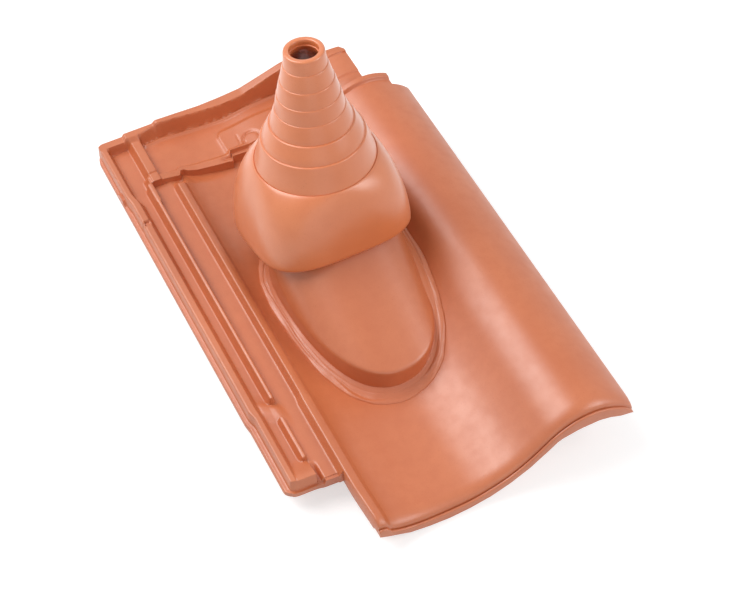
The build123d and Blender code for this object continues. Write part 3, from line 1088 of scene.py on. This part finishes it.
@dataclass
class SmearedSeam:
    """Clay that a hand smeared around the hood's foot: uneven edge, finger ridges."""

    course: WaterCourse
    hood: ClayHood
    width: float = 9.0
    toe_spread: float = 3.4
    lip: float = 1.3
    lip_share: float = 0.08
    sunk: float = 0.3
    wall_height: float = 7.6
    toe_drop: float = 2.4
    hollow: float = 0.16
    ridge_height: float = 0.35
    groove_depth: float = 0.3
    shelf_slope: float = 0.55
    seed: int = 7
    around: int = 520

    def waviness(
        self, angles: Array, octaves: tuple[int, ...], strength: float, offset: int
    ) -> Array:
        """Seeded uneven line around the hood.

        Args:
            angles: Directions around the hood.
            octaves: How many waves go around, for each wave.
            strength: Size of the waves together.
            offset: Which of the seed's lines.

        Returns:
            The line's value in each direction.
        """
        rng = np.random.default_rng(self.seed + offset)
        line = np.zeros_like(angles)
        for count in octaves:
            for wave in (np.sin, np.cos):
                size = rng.normal(0, 1 / math.sqrt(count))
                line += size * wave(count * angles + rng.uniform(0, 6.28))
        return line * strength

    def build(self, clay: Material) -> Object:
        """Makes the seam as a ring that thins out towards its uneven outer edge.

        Args:
            clay: Finish.

        Returns:
            The new piece.
        """
        angles = np.linspace(0, 2 * math.pi, self.around, endpoint=False)
        edge = self.waviness(angles, (2, 3, 5, 8, 13), 0.8, 0)
        edge = edge + self.waviness(angles, (21, 34, 47), 0.6, 3)
        wander = self.waviness(angles, (2, 5, 9), 0.12, 4)
        ridge = self.waviness(angles, (2, 4, 7, 11), 0.5, 1)
        lump = self.waviness(angles, (3, 6, 12, 25), 0.35, 2)
        outline = self.hood.plan(angles, 0.0)[0]
        slope = np.abs(self.course.top(outline + 2) - self.course.top(outline - 2)) / 4
        toe = ease(0.3, 1.0, -np.sin(angles))
        left = ease(0.0, 0.8, -np.cos(angles))
        finger = 0.35 + 0.65 * left
        reach = (self.width + self.toe_spread * toe + edge) / np.sqrt(1 + slope**2)
        wall = self.wall_height - self.toe_drop * toe
        points = []
        for share in [0.0, 0.012, 0.03, 0.06] + list(np.linspace(0.1, 1.0, 24)):
            x, y = self.hood.plan(angles, reach * (1 - share))
            rise = self.lip * math.sqrt(min(share / self.lip_share, 1.0)) - self.sunk
            rise = rise + wall * ((1 - self.hollow) * share + self.hollow * share**4)
            rise = rise + (0.2 + 0.6 * ridge) * bell(0.4, 0.22, share)
            rise = rise - (0.2 + 0.1 * left) * bell(0.68, 0.05, share)
            rise = rise + self.ridge_height * finger * bell(0.3, 0.07, share - wander)
            rise = rise - self.groove_depth * finger * bell(0.5, 0.06, share - wander)
            rise = rise + lump * math.sin(math.pi * share)
            points.append(np.stack([x, y, self.course.top(x) + rise], axis=1))
        shelf = points[-1][:, 2]
        for inset in (2.0, 5.0, 8.0):
            x, y = self.hood.plan(angles, -inset)
            points.append(np.stack([x, y, shelf + self.shelf_slope * inset], axis=1))
        faces = grid_faces(len(points), self.around, True, False)
        return add_piece("smeared_seam", np.concatenate(points), faces, clay)


# ---- cap


@dataclass
class FlexibleCap:
    """One moulding: squarish skirt, round shoulder and a cone with trim rings and a bore.

    rings holds height, radius and ledge of each trim ring. step is the outline of one: height,
    share of the ledge, growth. crease, tip and bore_line hold height and growth.
    """

    x: float = 132.0
    skirt_y: float = 266.0
    skirt_z: float = 65.8
    skirt_half_width: float = 67.1
    skirt_front: float = 63.1
    skirt_back: float = 68.0
    skirt_lean: float = 17.7
    skirt_squareness: float = 3.4
    fullness: float = 1.85
    shoulder_end: float = 0.92
    wall: float = 4.0
    cone_y: float = 275.8
    cone_z: float = 139.5
    cone_lean: float = 7.6
    cone_foot: float = 49.3
    shoulder_ledge: float = 1.2
    top_height: float = 106.95
    top_radius: float = 16.4
    bore: float = 11.7
    rings: tuple[tuple[float, float, float], ...] = (
        (22.5, 42.9, 1.5), (37.3, 35.0, 1.5), (52.1, 28.8, 0.7), (65.7, 25.8, 0.7),
        (79.8, 22.1, 0.7), (93.9, 18.1, 0.7),
    )
    lip: Numbers = (2.6, 0.9, 0.15)
    crease: Pairs = ((0.0, 0.8), (-0.5, 0.35), (0.4, 0.0))
    step: tuple[tuple[float, float, float], ...] = (
        (-0.7, 0.0, 0.02), (-0.15, 0.0, -0.22), (0.0, 0.55, 0.0), (0.1, 1.0, 0.0),
        (0.6, 1.0, -0.05),
    )
    tip: Pairs = ((-1.6, 0.0), (-0.6, -0.3), (0.0, -1.3))
    bore_line: Pairs = (
        (0.0, 0.6), (-0.6, 0.0), (-5.0, 0.0), (-5.2, -0.8), (-6.4, -0.8), (-6.6, 0.0),
        (-11.0, 0.0), (-12.0, 1.2),
    )
    around: int = 192

    def ring(
        self, y: float, z: float, lean: float, halves: tuple[float, float, float], power: float
    ) -> Array:
        """Corners of one tilted outline of the cap.

        Args:
            y: Middle of the outline along the tile.
            z: Height of the middle.
            lean: Tilt towards the head, in degrees.
            halves: Half width, length in front of the middle and length behind it.
            power: 2 for an ellipse, more for a squarer outline.

        Returns:
            One row for each corner.
        """
        angle = np.linspace(0, 2 * math.pi, self.around, endpoint=False)
        c, s = np.cos(angle), np.sin(angle)
        half_x, front, back = halves
        px = half_x * np.sign(c) * np.abs(c) ** (2 / power)
        py = np.where(s > 0, back, front) * np.sign(s) * np.abs(s) ** (2 / power)
        t = math.radians(lean)
        return np.stack([self.x + px, y + py * math.cos(t), z - py * math.sin(t)], axis=1)

    def skirt_ring(self, share: float, inset: float) -> Array:
        """Outline of skirt and shoulder.

        Args:
            share: Share of the way from the rim to the cone's foot.
            inset: How far inside the outer surface.

        Returns:
            One row for each corner.
        """
        least = math.sqrt(1 - self.shoulder_end**self.fullness)
        full = math.sqrt(max(0.0, 1 - (share * self.shoulder_end) ** self.fullness))
        full = max(0.0, full - least) / (1 - least)
        foot = self.cone_foot + self.shoulder_ledge
        sides = (self.skirt_half_width, self.skirt_front, self.skirt_back)
        return self.ring(
            self.skirt_y + (self.cone_y - self.skirt_y) * share,
            self.skirt_z + (self.cone_z - self.skirt_z) * share,
            self.skirt_lean + (self.cone_lean - self.skirt_lean) * share,
            tuple(foot + (side - foot) * full - inset for side in sides),
            2 + (self.skirt_squareness - 2) * full,
        )

    def cone_ring(self, height: float, radius: float) -> Array:
        """Round outline of the cone.

        Args:
            height: Place on the cone's axis.
            radius: Radius there.

        Returns:
            One row for each corner.
        """
        t = math.radians(self.cone_lean)
        y = self.cone_y + height * math.sin(t)
        z = self.cone_z + height * math.cos(t)
        return self.ring(y, z, self.cone_lean, (radius, radius, radius), 2.0)

    def outside_rings(self) -> list[Array]:
        """Follows the outside from the rim up to the top of the cone.

        Returns:
            The outlines in order.
        """
        shares = [0.0, 0.012, 0.03, *np.linspace(0.07, 0.93, 18), 0.97, 0.992]
        insets = [*self.lip] + [0.0] * (len(shares) - len(self.lip))
        rows = [self.skirt_ring(share, inset) for share, inset in zip(shares, insets)]
        rows += [self.cone_ring(rise, self.cone_foot + grow) for rise, grow in self.crease]
        low, wide = self.crease[-1][0], self.cone_foot
        for height, radius, ledge in self.rings:
            for k in (0.35, 0.7):
                rows.append(self.cone_ring(low + (height - low) * k, wide + (radius - wide) * k))
            for rise, share, grow in self.step:
                low, wide = height + rise, radius - share * ledge + grow
                rows.append(self.cone_ring(low, wide))
        for rise, grow in self.tip:
            rows.append(self.cone_ring(self.top_height + rise, self.top_radius + grow))
        return rows

    def inside_rings(self) -> list[Array]:
        """Follows the inside from the top of the bore down to the rim.

        Returns:
            The outlines in order.
        """
        top = self.top_height
        rows = [self.cone_ring(top + rise, self.bore + grow) for rise, grow in self.bore_line]
        for height, radius, ledge in reversed(self.rings[:-1]):
            rows.append(self.cone_ring(height + 1.0, radius - ledge - self.wall))
        rows.append(self.cone_ring(0.0, self.cone_foot - self.wall))
        shares = (0.98, 0.93, 0.86, 0.7, 0.5, 0.3, 0.12, 0.03, 0.0)
        return rows + [self.skirt_ring(share, self.wall) for share in shares]

    def build(self, vinyl: Material) -> Object:
        """Makes the whole cap as one closed wall.

        Args:
            vinyl: Finish.

        Returns:
            The new piece.
        """
        rows = self.outside_rings() + self.inside_rings()
        faces = grid_faces(len(rows) + 1, self.around, True, False)
        count = len(rows) * self.around
        faces = [tuple(k % count for k in face) for face in faces]
        return add_piece("flexible_cap_skin", np.concatenate(rows), faces, vinyl)


# ---- stage


@dataclass(frozen=True)
class Lamp:
    """A square soft light: place and side in metres, power in watts."""

    name: str
    place: tuple[float, float, float]
    size: float
    power: float


@dataclass
class Studio:
    """White table, three soft lights and the camera of the picture."""

    camera_place: tuple[float, float, float] = (-0.403354, -0.840767, 1.255289)
    camera_right: tuple[float, float, float] = (0.89043, -0.45512, 0.0)
    camera_up: tuple[float, float, float] = (0.36585, 0.71578, 0.59481)
    camera_back: tuple[float, float, float] = (-0.27071, -0.52964, 0.80386)
    lens: float = 87.65
    ambient: float = 0.36
    table_reach: float = 12.0
    table_gap: float = 0.0004
    table_tone: Numbers = (0.72, 0.72, 0.72, 1)
    table_seen_tone: Numbers = (0.62, 0.62, 0.62, 1)
    table_white: float = 0.58
    lamps: tuple[Lamp, ...] = (
        Lamp("key", (-0.74, 0.68, 1.38), 1.15, 23.5),
        Lamp("fill", (1.0, -0.8, 0.9), 0.8, 9.0),
        Lamp("front", (-0.3, -1.3, 0.4), 0.9, 1.4),
    )
    lamp_aim: tuple[float, float, float] = (0.0, 0.0, 0.05)

    def build(self) -> None:
        """Sets up the camera, the table, the world and the lights."""
        self.add_camera()
        self.add_table()
        self.add_world()
        for lamp in self.lamps:
            self.add_lamp(lamp)
        bpy.context.scene.view_settings.view_transform = "Standard"

    def add_camera(self) -> None:
        """Places the camera at the picture's viewpoint."""
        data = bpy.data.cameras.new("camera")
        data.lens = self.lens
        data.sensor_width = 36.0
        data.sensor_fit = "HORIZONTAL"
        data.clip_end = 50.0
        camera = bpy.data.objects.new("camera", data)
        turn = Matrix((self.camera_right, self.camera_up, self.camera_back)).transposed()
        camera.matrix_world = Matrix.Translation(self.camera_place) @ turn.to_4x4()
        bpy.context.scene.collection.objects.link(camera)
        bpy.context.scene.camera = camera

    def add_lamp(self, lamp: Lamp) -> None:
        """Adds a square soft light that faces the tile.

        Args:
            lamp: Place, size and power of the light.
        """
        data = bpy.data.lights.new(lamp.name, "AREA")
        data.size = lamp.size
        data.energy = lamp.power
        light = bpy.data.objects.new(lamp.name, data)
        light.location = lamp.place
        aim = Vector(self.lamp_aim) - Vector(lamp.place)
        light.rotation_euler = aim.to_track_quat("-Z", "Y").to_euler()
        bpy.context.scene.collection.objects.link(light)

    def add_table(self) -> None:
        """Adds a white table that shows white to the camera and keeps the tile's shadow."""
        mesh = bpy.data.meshes.new("table")
        reach = self.table_reach
        corners = [(-reach, -reach, 0), (reach, -reach, 0), (reach, reach, 0), (-reach, reach, 0)]
        mesh.from_pydata(corners, [], [(0, 1, 2, 3)])
        table = bpy.data.objects.new("table", mesh)
        table.location.z = -self.table_gap
        bpy.context.scene.collection.objects.link(table)
        material = bpy.data.materials.new("white_table")
        material.use_nodes = True
        tree = material.node_tree
        tree.nodes.clear()
        path = add_node(tree, "ShaderNodeLightPath").outputs
        seen = either(tree, path["Is Camera Ray"], path["Is Glossy Ray"])
        tone = blend(tree, seen, self.table_tone, self.table_seen_tone)
        plain = add_node(tree, "ShaderNodeBsdfDiffuse", {"Color": tone})
        factors = {0: seen, 1: self.table_white}
        glow = add_node(tree, "ShaderNodeMath", factors, operation="MULTIPLY")
        white = add_node(tree, "ShaderNodeEmission", {"Strength": glow.outputs[0]})
        both = add_node(tree, "ShaderNodeAddShader", {0: plain.outputs[0], 1: white.outputs[0]})
        add_node(tree, "ShaderNodeOutputMaterial", {"Surface": both.outputs[0]})
        mesh.materials.append(material)

    def add_world(self) -> None:
        """Fills the room with even white light, and shows the camera plain white."""
        world = bpy.data.worlds.new("room")
        bpy.context.scene.world = world
        world.use_nodes = True
        tree = world.node_tree
        path = add_node(tree, "ShaderNodeLightPath").outputs
        seen = either(tree, path["Is Camera Ray"], path["Is Transmission Ray"])
        seen = either(tree, seen, path["Is Glossy Ray"])
        inputs = {"Value": seen, "To Min": self.ambient, "To Max": 1.0}
        strength = add_node(tree, "ShaderNodeMapRange", inputs).outputs["Result"]
        feed(tree, tree.nodes["Background"], {"Color": (1, 1, 1, 1), "Strength": strength})


def main() -> None:
    """Builds the pieces in order and reports each one."""
    logging.basicConfig(level=logging.INFO, format="%(name)s: %(message)s")
    clay = EngobedClay().make()
    vinyl = MouldedVinyl().make()
    course = WaterCourse()
    hood = ClayHood(course)
    pieces = PressedTile(course).build(clay)
    pieces.append(HangingNibs(course).build(clay))
    pieces.extend(hood.build(clay))
    pieces.append(SmearedSeam(course, hood).build(clay))
    for piece in pieces:
        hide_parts("clay_tile")
    cap = FlexibleCap().build(vinyl)
    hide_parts("flexible_cap")
    Studio().build()


if __name__ == "__main__":
    main()
